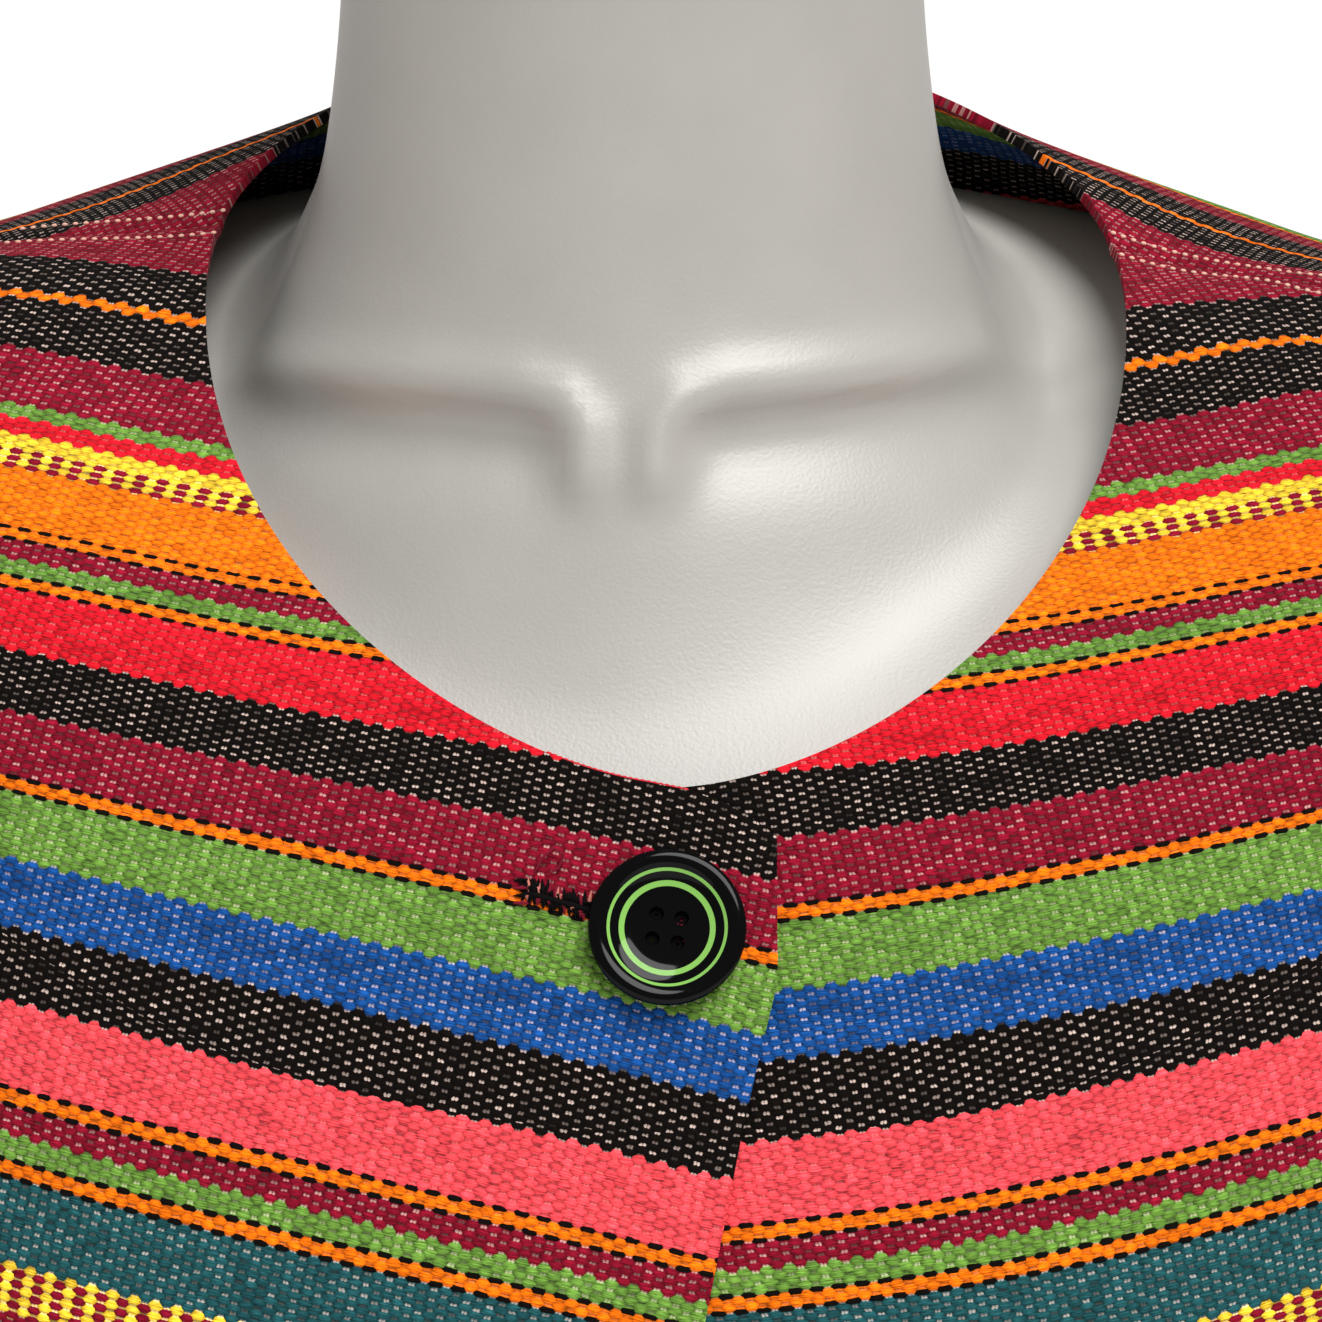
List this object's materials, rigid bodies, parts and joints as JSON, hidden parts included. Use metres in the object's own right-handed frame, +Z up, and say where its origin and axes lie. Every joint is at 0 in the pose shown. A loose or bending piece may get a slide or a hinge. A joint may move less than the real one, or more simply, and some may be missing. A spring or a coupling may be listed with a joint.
{
  "type": "cropped jacket on a limbless dress form",
  "caption": "Short collarless jacket of striped handwoven cloth with a round neck and one large button, standing on a smooth limbless dress form.",
  "frame": {"origin": "middle of the dress form's flat base, on the surface it stands on", "axes": "+Z up, -Y out of the front of the jacket, +X towards the wearer's left"},
  "size_m": [0.588, 0.2716, 0.712],
  "materials": {
    "cloth": "plain-woven cotton in bright stripes, matt",
    "button": "polished black with two light green rings",
    "form": "smooth grey moulding with a soft sheen"
  },
  "bodies": {
    "root": {"front_right": "cloth", "front_left": "cloth", "back": "cloth", "sleeve_right": "cloth", "sleeve_left": "cloth", "button": "button", "form": "form"}
  },
  "joints": []
}
